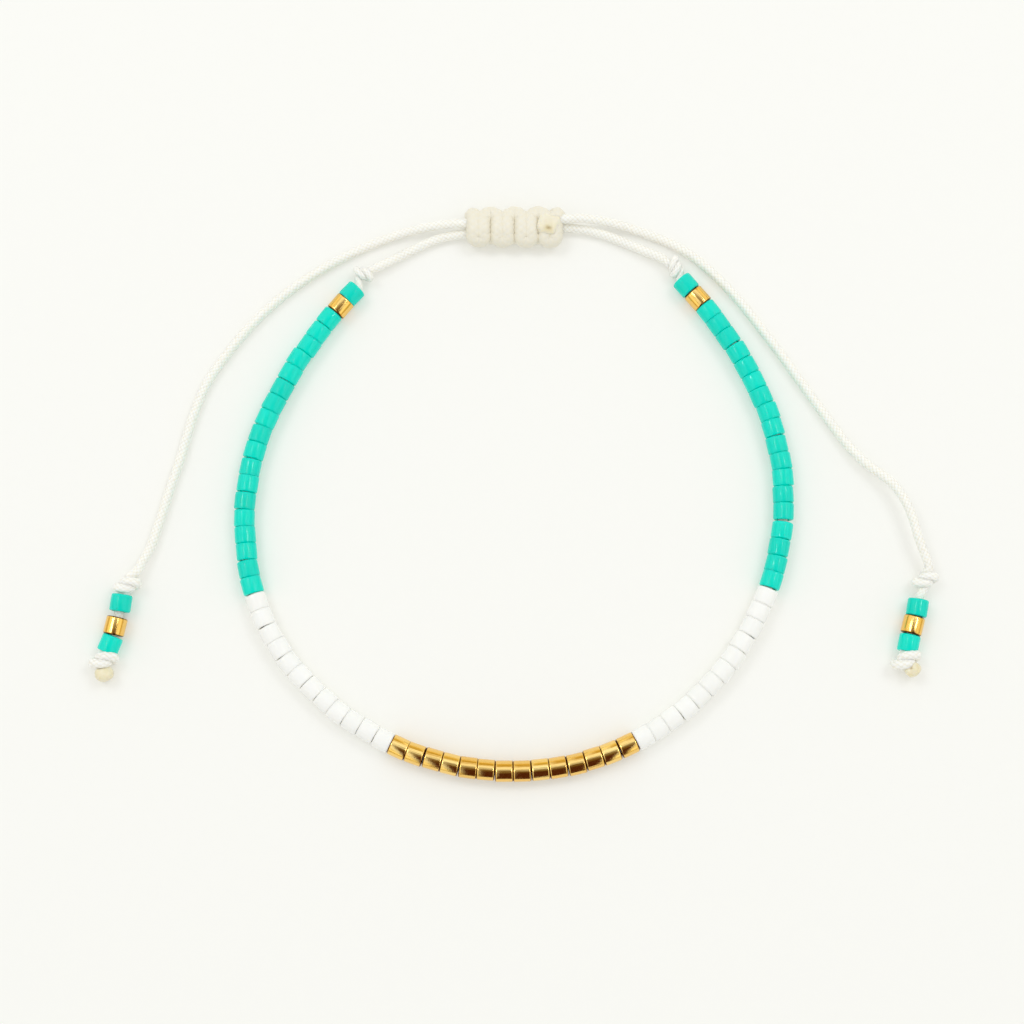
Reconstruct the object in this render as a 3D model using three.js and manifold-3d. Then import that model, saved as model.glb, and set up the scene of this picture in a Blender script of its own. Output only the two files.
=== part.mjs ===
// A seed bead bracelet lying on a table: a ring of turquoise, white and gold cylinder beads on a
// braided nylon cord, closed by a knotted slider, with two free tails that end in three beads each.
// Millimetres. X runs to the right, Y away from the wearer's side, Z up, and the table is z = 0.

import * as THREE from "three";
import { mergeVertices } from "three/addons/utils/BufferGeometryUtils.js";
import Module from "manifold-3d";

const wasm = await Module();
wasm.setup();

// Beads: short cylinders with broken edges, drilled along their axis
const BEAD_RADIUS = 0.8;
const BEAD_BEVEL = 0.12;
const BEAD_HOLE_RADIUS = 0.46;
const BEAD_SIDES = 10;
const GLASS_PITCH = 1.318;
const GOLD_PITCH = 1.365;
const BEAD_GAP = 0.06;

// Cord: braided nylon, the same from the string to the tails
const CORD_RADIUS = 0.375;
const CORD_SIDES = 8;
const CORD_STEP = 1.6;
const STEM_STEP = 0.8;
const CORD_GAP = 0.1;

// The string's thread line starts in the middle of the gold run and goes both ways as tangent
// arcs. radius is in mm and turn in degrees. The last arc runs on to the end of the string.
const GOLD_MIDDLE = { x: -0.07, y: -21.38 };
const LEFT_ARCS = [
  { radius: 21.8, turn: 45 },
  { radius: 17.4, turn: 35 },
  { radius: 20.2, turn: 35 },
  { radius: 35.0, turn: 40 },
];
const RIGHT_ARCS = [
  { radius: 20.4, turn: 45 },
  { radius: 21.5, turn: 35 },
  { radius: 20.0, turn: 35 },
  { radius: 32.0, turn: 40 },
];

// The string from its middle outwards, the same on both sides. The middle run straddles the start.
const GOLD_RUN_BEADS = 14;
const WHITE_RUN_BEADS = 12;
const TURQUOISE_RUN_BEADS = 18;

// Knots: overhand knots in the cord, and the slider of square knots round both closing cords
const KNOT_WRAP_RADIUS = 0.5;
const KNOT_STRAND_RADIUS = 0.36;
const KNOT_RADIUS = KNOT_WRAP_RADIUS + KNOT_STRAND_RADIUS;
const KNOT_SIDES = 6;
const KNOT_WRAP_STEPS = 12;
const KNOT_CORE = 0.4;
const STOP_KNOT_SIZE = 0.9;
const TABLE_GAP = 0.02;
const TIP_RADIUS = 0.56;
const TIP_SEGMENTS = { around: 8, down: 6 };
const SLIDER = {
  left: -3.69,
  right: 3.71,
  y: 20.7,
  z: 0.97,
  knots: 4,
  halfWidth: 1.53,
  halfHeight: 0.95,
  strand: 0.37,
  strandSides: 6,
  strandSteps: 16,
  groove: 0.1,
  coreWidth: 1.46,
  coreHeight: 1.39,
  tip: { x: 2.58, y: 20.75, z: 1.3 },
};

// An overhand knot as two wraps of the cord that cross each other, leaning opposite ways on the
// cord. along is each wrap's place on the knot's axis and lean its slant in degrees.
const KNOT_WRAPS = [
  { along: -0.26, lean: -24 },
  { along: 0.26, lean: 24 },
];

// Cord routes, chosen by hand from where the cord lies: x, y, z of the centre line
const CLOSURE_LEFT_ROUTE = [
  [-11.72, 17.0, 0.84],
  [-10.8, 17.5, 0.72],
  [-9.8, 18.0, 0.58],
  [-8.4, 18.75, 0.48],
  [-7.0, 19.45, 0.48],
  [-5.5, 20.0, 0.5],
  [-3.9, 20.26, 0.58],
];
const CLOSURE_RIGHT_ROUTE = [
  [12.5, 17.56, 0.84],
  [11.6, 18.22, 0.72],
  [10.2, 18.9, 0.55],
  [8.6, 19.6, 0.45],
  [7.1, 20.2, 0.45],
  [5.6, 20.6, 0.5],
  [3.95, 20.75, 0.6],
];
const TAIL_LEFT_ROUTE = [
  [-3.8, 20.95, 1.15],
  [-5.8, 20.85, 1.0],
  [-8.2, 20.45, 0.6],
  [-10.5, 19.7, 0.4],
  [-12.9, 18.65, 0.38],
  [-15.2, 17.35, 0.38],
  [-17.5, 15.75, 0.38],
  [-19.6, 13.9, 0.38],
  [-21.3, 12.0, 0.38],
  [-22.7, 10.15, 0.38],
  [-23.8, 8.4, 0.38],
  [-24.6, 6.45, 0.38],
  [-25.2, 4.45, 0.38],
  [-25.7, 2.55, 0.38],
  [-26.25, 0.85, 0.38],
  [-26.75, -0.85, 0.38],
  [-27.3, -2.7, 0.4],
  [-27.85, -4.4, 0.48],
  [-28.4, -5.5, 0.65],
  [-28.75, -6.25, 0.8],
];
const TAIL_RIGHT_ROUTE = [
  [3.85, 21.25, 1.36],
  [5.5, 21.3, 1.3],
  [7.4, 21.1, 0.85],
  [9.2, 20.7, 0.42],
  [10.9, 20.1, 0.38],
  [12.4, 19.45, 0.38],
  [13.8, 18.6, 0.38],
  [15.2, 17.4, 0.38],
  [16.6, 16.0, 0.38],
  [18.0, 14.35, 0.38],
  [19.3, 12.6, 0.38],
  [20.65, 10.75, 0.38],
  [21.95, 8.85, 0.38],
  [23.3, 6.9, 0.38],
  [24.6, 5.05, 0.4],
  [25.7, 3.55, 0.5],
  [26.8, 2.3, 0.7],
  [28.0, 1.3, 0.92],
  [29.0, 0.4, 1.15],
  [29.8, -0.8, 1.3],
  [30.4, -2.3, 1.35],
  [30.85, -3.9, 1.3],
  [31.3, -5.1, 1.18],
  [31.58, -5.95, 1.05],
];

// The end of each tail, from its cord outwards. heading is the direction in degrees in which the
// cord runs through the piece, size scales a knot, and lead is the length of the stem from where
// it starts, beside the upper knot, to the middle of the first bead.
const TAIL_ENDS = {
  left: {
    upperKnot: { x: -29.3, y: -7.2, heading: -160, size: 1.0 },
    lead: 0.7,
    beads: [
      { x: -29.92, y: -8.69, heading: -99, gold: false },
      { x: -30.26, y: -10.49, heading: -102, gold: true },
      { x: -30.7, y: -11.85, heading: -113, gold: false },
    ],
    lowerKnot: { x: -31.17, y: -13.48, heading: -110, size: 1.1 },
    tip: { x: -31.1, y: -14.15 },
  },
  right: {
    upperKnot: { x: 31.35, y: -7.0, heading: -130, size: 1.0 },
    lead: 1.2,
    beads: [
      { x: 30.66, y: -9.05, heading: -101, gold: false },
      { x: 30.3, y: -10.43, heading: -105, gold: true },
      { x: 29.9, y: -11.78, heading: -104, gold: false },
    ],
    lowerKnot: { x: 29.75, y: -13.48, heading: -95, size: 1.1 },
    tip: { x: 30.4, y: -13.7 },
  },
};

// Finishes
const turquoiseGlass = () => new THREE.MeshStandardMaterial({ color: 0x1cd3b9, roughness: 0.25 });
const whiteGlass = () => new THREE.MeshStandardMaterial({ color: 0xf6f6f1, roughness: 0.4 });
const goldPlate = () =>
  new THREE.MeshStandardMaterial({ color: 0xd9a441, roughness: 0.2, metalness: 1 });
const whiteNylon = () => new THREE.MeshStandardMaterial({ color: 0xf1eee0, roughness: 0.75 });

const bracelet = new THREE.Group();

function addMesh(name, geometry, material) {
  const mesh = new THREE.Mesh(geometry, material);
  mesh.name = name;
  bracelet.add(mesh);
  return mesh;
}

// Solids: closed geometry to manifold and back, to join strands that cross
const WELD = 1e-4;

function solidOf(geometry) {
  const bare = new THREE.BufferGeometry();
  bare.setAttribute("position", geometry.getAttribute("position"));
  bare.setIndex(geometry.getIndex());
  const merged = mergeVertices(bare, WELD);
  const index = merged.getIndex().array;
  const kept = [];
  for (let i = 0; i < index.length; i += 3) {
    const [a, b, c] = [index[i], index[i + 1], index[i + 2]];
    if (a !== b && b !== c && c !== a) kept.push(a, b, c);
  }
  const vertProperties = new Float32Array(merged.getAttribute("position").array);
  const triVerts = new Uint32Array(kept);
  return new wasm.Manifold(new wasm.Mesh({ numProp: 3, vertProperties, triVerts }));
}

function joined(geometries) {
  const solid = geometries.map(solidOf).reduce((a, b) => a.add(b));
  const mesh = solid.getMesh();
  const geometry = new THREE.BufferGeometry();
  geometry.setAttribute("position", new THREE.BufferAttribute(mesh.vertProperties, 3));
  geometry.setIndex(new THREE.BufferAttribute(mesh.triVerts, 1));
  geometry.computeVertexNormals();
  return geometry;
}

// A place on the thread line, s mm from the middle of the gold run, right positive, and the
// direction in which s grows.
function onString(s) {
  const side = Math.sign(s) || 1;
  let rest = Math.abs(s);
  let turned = 0;
  let across = 0;
  let up = 0;
  for (const arc of side < 0 ? LEFT_ARCS : RIGHT_ARCS) {
    const turn = Math.min(rest / arc.radius, THREE.MathUtils.degToRad(arc.turn));
    across += arc.radius * (Math.sin(turned + turn) - Math.sin(turned));
    up += arc.radius * (Math.cos(turned) - Math.cos(turned + turn));
    turned += turn;
    rest -= turn * arc.radius;
  }
  return { x: GOLD_MIDDLE.x + side * across, y: GOLD_MIDDLE.y + up, heading: side * turned };
}

// The radius at a polygon's corners that puts its flats at the given radius
const cornerRadius = (flatRadius, sides) => flatRadius / Math.cos(Math.PI / sides);
const OUTER = cornerRadius(BEAD_RADIUS, BEAD_SIDES);
const EDGE = cornerRadius(BEAD_RADIUS - BEAD_BEVEL, BEAD_SIDES);

// A lathe about Y with a flat facing down (-Z)
const turnedBead = (profile) =>
  new THREE.LatheGeometry(profile, BEAD_SIDES, Math.PI / BEAD_SIDES);

// A run of beads threaded tight, turned as one grooved bar and bent along the thread line
function beadRun(from, to, beads) {
  const length = (to - from - BEAD_GAP) / beads;
  const profile = [new THREE.Vector2(0, 0)];
  for (let i = 0; i < beads; i++) {
    profile.push(new THREE.Vector2(EDGE, i * length));
    profile.push(new THREE.Vector2(OUTER, i * length + BEAD_BEVEL));
    profile.push(new THREE.Vector2(OUTER, (i + 1) * length - BEAD_BEVEL));
  }
  profile.push(new THREE.Vector2(EDGE, beads * length), new THREE.Vector2(0, beads * length));
  const run = turnedBead(profile);
  const place = run.getAttribute("position");
  for (let i = 0; i < place.count; i++) {
    const { x, y, heading } = onString(from + BEAD_GAP / 2 + place.getY(i));
    const out = place.getX(i);
    place.setXYZ(
      i,
      x + out * Math.sin(heading),
      y - out * Math.cos(heading),
      BEAD_RADIUS + place.getZ(i),
    );
  }
  run.computeVertexNormals();
  return run;
}

// One drilled bead, its axis along Y and its middle at the origin
function drilledBead(pitch) {
  const half = (pitch - BEAD_GAP) / 2;
  const hole = cornerRadius(BEAD_HOLE_RADIUS, BEAD_SIDES);
  return turnedBead([
    new THREE.Vector2(hole, -half),
    new THREE.Vector2(EDGE, -half),
    new THREE.Vector2(OUTER, -half + BEAD_BEVEL),
    new THREE.Vector2(OUTER, half - BEAD_BEVEL),
    new THREE.Vector2(EDGE, half),
    new THREE.Vector2(hole, half),
    new THREE.Vector2(hole, -half),
  ]);
}

function addDrilledBead(name, x, y, heading, gold) {
  const pitch = gold ? GOLD_PITCH : GLASS_PITCH;
  const bead = addMesh(name, drilledBead(pitch), gold ? goldPlate() : turquoiseGlass());
  bead.position.set(x, y, BEAD_RADIUS);
  bead.rotation.z = heading - Math.PI / 2;
}

// A cord along a smooth curve through the points of its route
function cordTube(points, step = CORD_STEP) {
  const route = new THREE.CatmullRomCurve3(points.map((p) => new THREE.Vector3(...p)));
  const section = new THREE.Shape();
  for (let i = 0; i < CORD_SIDES; i++) {
    const angle = (i * 2 * Math.PI) / CORD_SIDES;
    const corner = [CORD_RADIUS * Math.cos(angle), CORD_RADIUS * Math.sin(angle)];
    if (i === 0) section.moveTo(...corner);
    else section.lineTo(...corner);
  }
  const steps = Math.ceil(route.getLength() / step);
  return new THREE.ExtrudeGeometry(section, { steps, extrudePath: route, bevelEnabled: false });
}

const knotLift = (size) => size * KNOT_RADIUS + TABLE_GAP;

function overhandKnot({ x, y, heading, size }) {
  return KNOT_WRAPS.map(({ along, lean }) =>
    new THREE.TorusGeometry(KNOT_WRAP_RADIUS, KNOT_STRAND_RADIUS, KNOT_SIDES, KNOT_WRAP_STEPS)
      .rotateY(Math.PI / 2)
      .rotateZ(THREE.MathUtils.degToRad(lean))
      .translate(along, 0, 0)
      .scale(size, size, size)
      .rotateZ(THREE.MathUtils.degToRad(heading))
      .translate(x, y, knotLift(size)),
  );
}

const meltedTip = ({ x, y, z }) =>
  new THREE.SphereGeometry(TIP_RADIUS, TIP_SEGMENTS.around, TIP_SEGMENTS.down).translate(x, y, z);

// One square knot of the slider seen from above: its strand crosses the core, turns round a side,
// crosses back and closes, and reaches from the front of the core to its back.
class SquareKnotLoop extends THREE.Curve {
  constructor(halfLength, halfWidth) {
    super();
    this.halfLength = halfLength;
    this.halfWidth = halfWidth;
  }

  getPoint(t, target = new THREE.Vector3()) {
    const angle = t * 2 * Math.PI;
    return target.set(this.halfLength * Math.cos(angle), this.halfWidth * Math.sin(angle), 0);
  }
}

function slider() {
  const pitch = (SLIDER.right - SLIDER.left) / SLIDER.knots;
  const halfLength = (pitch - SLIDER.groove) / 2 - SLIDER.strand;
  const path = new SquareKnotLoop(halfLength, SLIDER.halfWidth - SLIDER.strand);
  const knots = [];
  for (let i = 0; i < SLIDER.knots; i++) {
    const knot = new THREE.TubeGeometry(
      path,
      SLIDER.strandSteps,
      SLIDER.strand,
      SLIDER.strandSides,
      true,
    );
    knot.scale(1, 1, SLIDER.halfHeight / SLIDER.strand);
    knots.push(knot.translate(SLIDER.left + (i + 0.5) * pitch, SLIDER.y, SLIDER.z));
  }
  const coreLength = SLIDER.right - SLIDER.left - 2 * SLIDER.strand;
  const core = new THREE.BoxGeometry(coreLength, SLIDER.coreWidth, SLIDER.coreHeight);
  core.translate((SLIDER.left + SLIDER.right) / 2, SLIDER.y, SLIDER.z);
  return joined([core, ...knots, meltedTip(SLIDER.tip)]);
}

// The string
const whiteStart = (GOLD_RUN_BEADS * GOLD_PITCH) / 2;
const turquoiseStart = whiteStart + WHITE_RUN_BEADS * GLASS_PITCH;
const spacerStart = turquoiseStart + TURQUOISE_RUN_BEADS * GLASS_PITCH;
const endBeadStart = spacerStart + GOLD_PITCH;
const stringEnd = endBeadStart + GLASS_PITCH;
const spacerMiddle = spacerStart + GOLD_PITCH / 2;
const endBeadMiddle = endBeadStart + GLASS_PITCH / 2;

addMesh("gold_run", beadRun(-whiteStart, whiteStart, GOLD_RUN_BEADS), goldPlate());
for (const [name, side] of [["left", -1], ["right", 1]]) {
  const run = (near, far, beads) =>
    beadRun(Math.min(side * near, side * far), Math.max(side * near, side * far), beads);
  addMesh(`white_run_${name}`, run(whiteStart, turquoiseStart, WHITE_RUN_BEADS), whiteGlass());
  addMesh(
    `turquoise_run_${name}`,
    run(turquoiseStart, spacerStart, TURQUOISE_RUN_BEADS),
    turquoiseGlass(),
  );
  const spacer = onString(side * spacerMiddle);
  addDrilledBead(`spacer_bead_${name}`, spacer.x, spacer.y, spacer.heading, true);
  const endBead = onString(side * endBeadMiddle);
  addDrilledBead(`end_bead_${name}`, endBead.x, endBead.y, endBead.heading, false);
}

// The closing cords: from inside the last two beads, through a stop knot, to the slider
function closingCord(side, route) {
  const along = [spacerStart + CORD_GAP, spacerMiddle, endBeadMiddle, stringEnd];
  const inBeads = along.map((s) => {
    const { x, y } = onString(side * s);
    return [x, y, BEAD_RADIUS];
  });
  const [knot, next] = route;
  const heading = THREE.MathUtils.radToDeg(Math.atan2(next[1] - knot[1], next[0] - knot[0]));
  const stopKnot = overhandKnot({ x: knot[0], y: knot[1], heading, size: STOP_KNOT_SIZE });
  return joined([cordTube([...inBeads, ...route]), ...stopKnot]);
}

addMesh("closure_cord_left", closingCord(-1, CLOSURE_LEFT_ROUTE), whiteNylon());
addMesh("closure_cord_right", closingCord(1, CLOSURE_RIGHT_ROUTE), whiteNylon());
addMesh("sliding_knot", slider(), whiteNylon());

// The tails
addMesh("tail_cord_left", cordTube(TAIL_LEFT_ROUTE), whiteNylon());
addMesh("tail_cord_right", cordTube(TAIL_RIGHT_ROUTE), whiteNylon());

// The place `far` mm along the cord from the middle of a knot or bead of a tail
function alongCord({ x, y, heading }, far, z) {
  const direction = THREE.MathUtils.degToRad(heading);
  return [x + far * Math.cos(direction), y + far * Math.sin(direction), z];
}

for (const [name, { upperKnot, lead, beads, lowerKnot, tip }] of Object.entries(TAIL_ENDS)) {
  const core = [-KNOT_CORE, 0, KNOT_CORE].map((far) =>
    alongCord(upperKnot, far, knotLift(upperKnot.size)),
  );
  addMesh(`tail_knot_${name}`, joined([cordTube(core), ...overhandKnot(upperKnot)]), whiteNylon());
  beads.forEach(({ x, y, heading, gold }, i) => {
    const direction = THREE.MathUtils.degToRad(heading);
    addDrilledBead(`tail_bead_${name}_${i + 1}`, x, y, direction, gold);
  });

  const z = knotLift(lowerKnot.size);
  const stem = [
    alongCord(beads[0], -lead, BEAD_RADIUS),
    ...beads.map((bead) => alongCord(bead, 0, BEAD_RADIUS)),
    alongCord(lowerKnot, 0, z),
  ];
  const pieces = [cordTube(stem, STEM_STEP), ...overhandKnot(lowerKnot), meltedTip({ ...tip, z })];
  addMesh(`tail_end_${name}`, joined(pieces), whiteNylon());
}

export default bracelet;
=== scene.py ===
"""A seed bead bracelet on a pale table: turquoise, white and gold cylinder beads on a white braided
cord, a knotted slider, and two loose tails that end in beads, knots and melted tips.

The places of cords and beads are in millimetres, the numbers of the solids, and metres() turns
them into Blender's metres. X runs right, Y towards the slider, Z up, and the table is z = 0.
"""

import math

import bmesh
import bpy
import numpy as np
from bpy.props import FloatProperty, FloatVectorProperty, IntProperty, PointerProperty
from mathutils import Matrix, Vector, noise


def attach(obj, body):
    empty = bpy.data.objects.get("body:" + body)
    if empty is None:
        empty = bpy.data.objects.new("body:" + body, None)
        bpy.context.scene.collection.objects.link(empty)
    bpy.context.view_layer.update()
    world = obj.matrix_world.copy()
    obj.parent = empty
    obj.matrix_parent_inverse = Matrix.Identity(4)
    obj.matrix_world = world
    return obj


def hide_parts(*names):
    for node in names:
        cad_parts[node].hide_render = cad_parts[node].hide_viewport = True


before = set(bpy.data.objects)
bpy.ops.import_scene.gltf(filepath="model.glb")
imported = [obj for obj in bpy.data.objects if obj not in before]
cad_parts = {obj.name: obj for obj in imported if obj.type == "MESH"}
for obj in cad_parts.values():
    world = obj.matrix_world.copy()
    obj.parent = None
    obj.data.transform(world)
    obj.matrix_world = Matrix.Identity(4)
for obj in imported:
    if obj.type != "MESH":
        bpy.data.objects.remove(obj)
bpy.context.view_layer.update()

bl_info = {
    "name": "Seed bead bracelet",
    "version": (1, 0, 0),
    "blender": (4, 5, 0),
    "location": "View3D > Sidebar > Bracelet",
    "description": "Builds a seed bead bracelet with a sliding knot, its table and its light",
    "category": "Add Mesh",
}

MM = 0.001
BODY = "root"
SIDES = {"left": -1, "right": 1}

# The thread line: tangent arcs from the middle of the gold run. radius in mm, turn in degrees.
GOLD_MIDDLE = (-0.07, -21.38)
ARCS = {
    -1: ((21.8, 45), (17.4, 35), (20.2, 35), (35.0, 40)),
    1: ((20.4, 45), (21.5, 35), (20.0, 35), (32.0, 40)),
}
GOLD_BEADS = 14
WHITE_BEADS = 12
TURQUOISE_BEADS = 18
# On the right, the turquoise beads part a little after this many, counted from the white ones.
PARTED_AFTER = 4
PARTED_BY = 0.15

# Centre lines of the closing cords, from the stop knot into the slider: x, y, z
CLOSURES = {
    "left": (
        (-10.9, 17.45, 0.72), (-9.8, 18.0, 0.58), (-8.4, 18.75, 0.48), (-7.0, 19.45, 0.48),
        (-5.5, 20.0, 0.5), (-3.9, 20.26, 0.58), (-3.0, 20.36, 0.75),
    ),
    "right": (
        (11.6, 18.22, 0.72), (10.2, 18.9, 0.55), (8.6, 19.6, 0.45), (7.1, 20.2, 0.45),
        (5.6, 20.6, 0.5), (3.95, 20.75, 0.6), (3.0, 20.7, 0.75),
    ),
}
# Centre lines of the tails, from the slider to the upper knot: x, y, z
TAILS = {
    "left": (
        (-3.1, 20.95, 1.1), (-3.8, 20.95, 1.15), (-5.8, 20.85, 1.0), (-8.2, 20.45, 0.6),
        (-10.5, 19.7, 0.4), (-12.9, 18.65, 0.38), (-15.2, 17.35, 0.38), (-17.5, 15.75, 0.38),
        (-19.6, 13.9, 0.38), (-21.3, 12.0, 0.38), (-22.7, 10.15, 0.38), (-23.8, 8.4, 0.38),
        (-24.6, 6.45, 0.38), (-25.2, 4.45, 0.38), (-25.7, 2.55, 0.38), (-26.25, 0.85, 0.38),
        (-26.75, -0.85, 0.38), (-27.3, -2.7, 0.4), (-27.85, -4.4, 0.48), (-28.4, -5.5, 0.65),
        (-28.75, -6.25, 0.8),
    ),
    "right": (
        (3.1, 21.1, 1.2), (3.85, 21.25, 1.36), (5.5, 21.3, 1.3), (7.4, 21.1, 0.85),
        (9.2, 20.7, 0.42), (10.9, 20.1, 0.38), (12.4, 19.45, 0.38), (13.8, 18.6, 0.38),
        (15.2, 17.4, 0.38), (16.6, 16.0, 0.38), (18.0, 14.35, 0.38), (19.3, 12.6, 0.38),
        (20.65, 10.75, 0.38), (21.95, 8.85, 0.38), (23.3, 6.9, 0.38), (24.6, 5.05, 0.4),
        (25.7, 3.55, 0.5), (26.8, 2.3, 0.7), (28.0, 1.3, 0.92), (29.0, 0.4, 1.15),
        (29.8, -0.8, 1.3), (30.4, -2.3, 1.35), (30.85, -3.9, 1.3), (31.3, -5.1, 1.18),
        (31.58, -5.95, 1.05),
    ),
}

# Stop knots: middle, direction of the cord in degrees and size
STOP_KNOTS = {
    "left": {"at": (-11.72, 17.0, 0.84), "heading": 28, "size": 0.8},
    "right": {"at": (12.5, 17.56, 0.84), "heading": 143, "size": 0.8},
}

# The tails' ends. Beads: x, y and heading in degrees. A tip's pit is a direction.
TAIL_FINISHES = ("turquoise", "gold", "turquoise")
TAIL_ENDS = {
    "left": {
        "upper": {"at": (-29.45, -7.35, 0.92), "heading": -110, "size": 1.0},
        "beads": ((-29.92, -8.69, -99), (-30.26, -10.49, -102), (-30.7, -11.85, -113)),
        "lower": {"at": (-31.1, -13.05, 0.97), "heading": -108, "size": 1.05},
        "tip": {"at": (-31.05, -14.1, 0.8), "heading": -80, "radius": 0.7, "pit": (0.0, 0.0, -1.0)},
    },
    "right": {
        "upper": {"at": (31.3, -6.95, 0.92), "heading": -108, "size": 0.95},
        "beads": ((30.66, -9.05, -101), (30.3, -10.43, -105), (29.9, -11.78, -104)),
        "lower": {"at": (29.65, -13.05, 0.97), "heading": -98, "size": 1.1},
        "tip": {"at": (30.15, -13.75, 0.95), "heading": -50, "radius": 0.6, "pit": (-0.3, 0.1, 0.9)},
    },
}

# An overhand knot pulled tight, in mm: place along the knot's axis, distance from the axis, and
# angle round it in degrees. The cord passes along the middle, turns back over the outside, and
# passes along the middle again.
OVERHAND = (
    (-0.62, 0.1, 10), (-0.36, 0.28, 60), (-0.14, 0.32, 125),
    (0.1, 0.33, 205), (0.3, 0.42, 275), (0.42, 0.64, 340),
    (0.3, 0.76, 395), (0.0, 0.74, 450), (-0.3, 0.76, 505),
    (-0.42, 0.64, 560), (-0.3, 0.42, 625), (-0.1, 0.33, 695),
    (0.14, 0.32, 775), (0.36, 0.28, 840), (0.62, 0.1, 890),
)
# Turn of every knot about its axis, in degrees, and how flat it is pressed
KNOT_ROLL = 180
KNOT_PRESS = 0.82
# Where a knot of size 1 stops squeezing the cord, and over what length it lets go, in mm
SQUEEZE_REACH = 1.5
SQUEEZE_FADE = 0.6

SLIDER = {"left": -3.69, "right": 3.71, "y": 20.7, "z": 0.97, "half_knots": 8, "widening": 0.035}
# One half knot of the slider, for the strand that crosses the front and for the one that crosses
# the back, in mm from its middle: place along the slider, how far the run is drawn towards the
# other run of its loop, distance from the middle line, and height. Each strand turns back at a
# side, half a pitch further on. The front one is wider, and starts and ends at FRONT_END: distance
# and height.
FRONT_STRAND = (
    (-0.4625, 0.0, -1.01, 0.02),
    (-0.1, 0.0, -0.86, 0.1),
    (0.0, 0.13, -0.56, 0.22),
    (0.0, 0.13, -0.3, 0.3),
    (0.0, 0.13, 0.3, 0.3),
    (0.0, 0.13, 0.56, 0.22),
    (0.12, 0.0, 0.86, 0.1),
)
FRONT_END = ((0.5, -0.4), (0.95, -0.1))
BACK_STRAND = (
    (-0.4625, 0.0, -0.64, -0.26),
    (-0.12, 0.0, -0.56, -0.29),
    (0.0, 0.0, -0.35, -0.31),
    (0.0, 0.0, 0.35, -0.31),
    (0.12, 0.0, 0.56, -0.29),
)
# How far the cords inside the slider lie from its middle line
CORE_SPACING = 0.36
# flat scales a melted tip's height, and cool is how far its colour fades to the slider's.
SLIDER_TIP = {
    "at": (2.7, 20.72, 1.56),
    "heading": 80,
    "length": 0.855,
    "radius": 0.9,
    "flat": 0.6,
    "cool": 1.0,
    "pit": (-0.03, -0.4, 0.9),
}

# How a melted end sets: its length in mm, how blunt it is, how high its lumps, its ripples and its
# pit are, the pit's width, and from where and over what angle its colour fades. Angles in radians.
MELT = {
    "length": 0.55,
    "blunt": 0.82,
    "lumps": 0.12,
    "ripples": 0.04,
    "pit": 0.15,
    "pit_width": 0.15,
    "cool_from": 0.2,
    "cool_over": 0.7,
}

# How far apart the points of a line lie, in mm
SPACING = {"tail": 0.3, "knot": 0.12, "slider": 0.1, "in_slider": 0.2}
# How far apart a cord's rings lie, in mm, and the faces round it
KNOTTED = {"step": 0.06, "sides": 36}
IN_SLIDER = {"step": 0.1, "sides": 24}
IN_BEADS = {"step": 0.12, "sides": 16}
# How far inside the string a closing cord's first points lie, and the ends of the cord in the beads
INSIDE = (2.5, 1.2, 0.0)
IN_BEADS_END = 2.4
IN_BEADS_POINTS = 90


def metres(points):
    return np.array(points, float) * MM


def turned(x, y, degrees):
    """A place turned about the middle, seen from above."""
    c, s = math.cos(math.radians(degrees)), math.sin(math.radians(degrees))
    return x * c - y * s, x * s + y * c


def on_string(s):
    """The place on the thread line s mm from its middle, right positive, and its direction."""
    side = -1 if s < 0 else 1
    rest, turned, across, up = abs(s), 0.0, 0.0, 0.0
    for radius, degrees in ARCS[side]:
        turn = min(rest / radius, math.radians(degrees))
        across += radius * (math.sin(turned + turn) - math.sin(turned))
        up += radius * (math.cos(turned) - math.cos(turned + turn))
        turned += turn
        rest -= turn * radius
    return GOLD_MIDDLE[0] + side * across, GOLD_MIDDLE[1] + up, side * turned


def smooth(points, spacing):
    """A centripetal curve through the points, sampled about every spacing."""
    p = np.array(points, float)
    p = np.vstack([2 * p[0] - p[1], p, 2 * p[-1] - p[-2]])
    line = []
    for i in range(len(p) - 3):
        a, b, c, d = p[i : i + 4]
        t = np.cumsum([0] + [np.linalg.norm(v) ** 0.5 for v in (b - a, c - b, d - c)])
        count = max(2, math.ceil(np.linalg.norm(c - b) / spacing))
        at = np.linspace(t[1], t[2], count, endpoint=False)[:, None]

        def blend(p, q, start, end):
            whole = t[end] - t[start]
            return (t[end] - at) / whole * p + (at - t[start]) / whole * q

        ab, bc, cd = blend(a, b, 0, 1), blend(b, c, 1, 2), blend(c, d, 2, 3)
        line.append(blend(blend(ab, bc, 0, 2), blend(bc, cd, 1, 3), 1, 2))
    return np.vstack([*line, p[-2:-1]])


def overhand(knot):
    """The centre line of an overhand knot, in mm, from the side that its heading comes from."""
    x, r, a = np.array(OVERHAND).T
    a = np.radians(a + KNOT_ROLL)
    local = np.stack([x, r * np.cos(a), r * np.sin(a) * KNOT_PRESS], axis=1) * knot["size"]
    x, y, z = local.T
    return np.stack([*turned(x, y, knot["heading"]), z], axis=1) + np.array(knot["at"])


# Node trees


def fill(tree, node, sockets):
    """Sets each socket, given by name or number, to a value or to another node's output."""
    for key, value in dict(sockets).items():
        at = key
        if not isinstance(key, int):
            at = next(i for i, s in enumerate(node.inputs) if s.name == key and s.enabled)
        if isinstance(value, bpy.types.Node):
            value = next(s for s in value.outputs if s.enabled)
        if isinstance(value, bpy.types.NodeSocket):
            tree.links.new(value, node.inputs[at])
        else:
            node.inputs[at].default_value = value


def add_node(tree, kind, sockets=(), **settings):
    node = tree.nodes.new(kind)
    for name, value in settings.items():
        setattr(node, name, value)
    fill(tree, node, sockets)
    return node


def calc(tree, operation, *values):
    return add_node(tree, "ShaderNodeMath", dict(enumerate(values)), operation=operation).outputs[0]


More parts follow.
